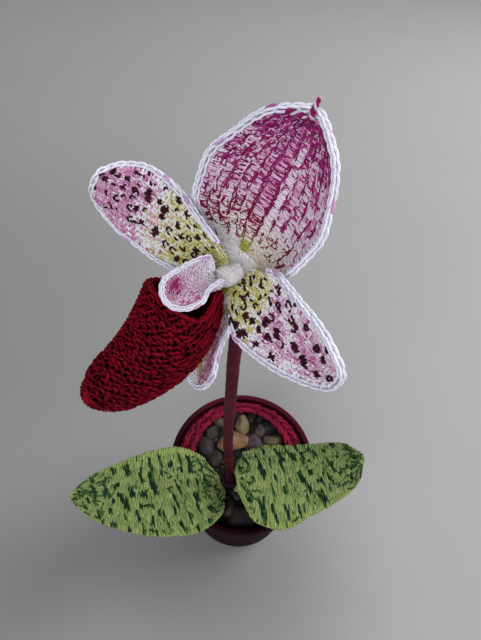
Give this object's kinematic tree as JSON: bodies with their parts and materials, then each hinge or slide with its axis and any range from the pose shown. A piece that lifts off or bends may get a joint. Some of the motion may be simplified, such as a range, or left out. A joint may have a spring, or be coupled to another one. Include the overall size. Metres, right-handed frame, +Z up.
{
  "type": "crocheted slipper orchid in a plastic pot",
  "caption": "Crocheted slipper orchid: cupped spotted flower on a wrapped stem with two mottled leaves, standing in a tapered plastic pot topped with pebbles.",
  "frame": {"origin": "centre of the pot's foot, on the surface it stands on", "axes": "+Z up along the pot's axis; the flower looks towards -X -Y and the leaves spread along X"},
  "size_m": [0.2193, 0.1352, 0.431],
  "materials": {
    "pot_plastic": "dark maroon moulded plastic, half gloss",
    "filling_foam": "white expanded foam block",
    "pebble_stone": "dull river pebbles in tan, grey and mauve brown",
    "collar_yarn": "raspberry crocheted yarn",
    "wire_steel": "florist's wire",
    "stem_tape": "plum florist's tape wound smooth",
    "tie_thread": "dark purple binding thread",
    "leaf_yarn": "yellow-green crocheted yarn with dark green dashes",
    "cream_yarn": "cream crocheted yarn",
    "sepal_yarn": "white, lilac and magenta variegated crocheted yarn",
    "edging_yarn": "lilac white chain stitch",
    "petal_yarn": "crochet from yellow green to pink with dark embroidered spots",
    "synsepal_yarn": "olive to magenta crocheted yarn",
    "pouch_yarn": "crimson crocheted yarn with open stitches",
    "strap_yarn": "olive crocheted yarn",
    "staminode_yarn": "pale lilac crochet with a magenta blush"
  },
  "bodies": {
    "root": {"pot": "pot_plastic", "pot_filling": "filling_foam", "pebbles": "pebble_stone", "pot_collar": "collar_yarn", "stem_wire": "wire_steel", "stem_wrap": "stem_tape", "stem_tie": "tie_thread", "leaf_left": "leaf_yarn", "leaf_right": "leaf_yarn", "flower_core": "cream_yarn", "dorsal_sepal": "sepal_yarn", "dorsal_edging": "edging_yarn", "dorsal_nib": "sepal_yarn", "petal_left": "petal_yarn", "petal_left_edging": "edging_yarn", "petal_right": "petal_yarn", "petal_right_edging": "edging_yarn", "synsepal": "synsepal_yarn", "synsepal_edging": "edging_yarn", "pouch": "pouch_yarn", "pouch_strap": "strap_yarn", "column": "cream_yarn", "staminode": "staminode_yarn", "staminode_edging": "edging_yarn"}
  },
  "joints": []
}
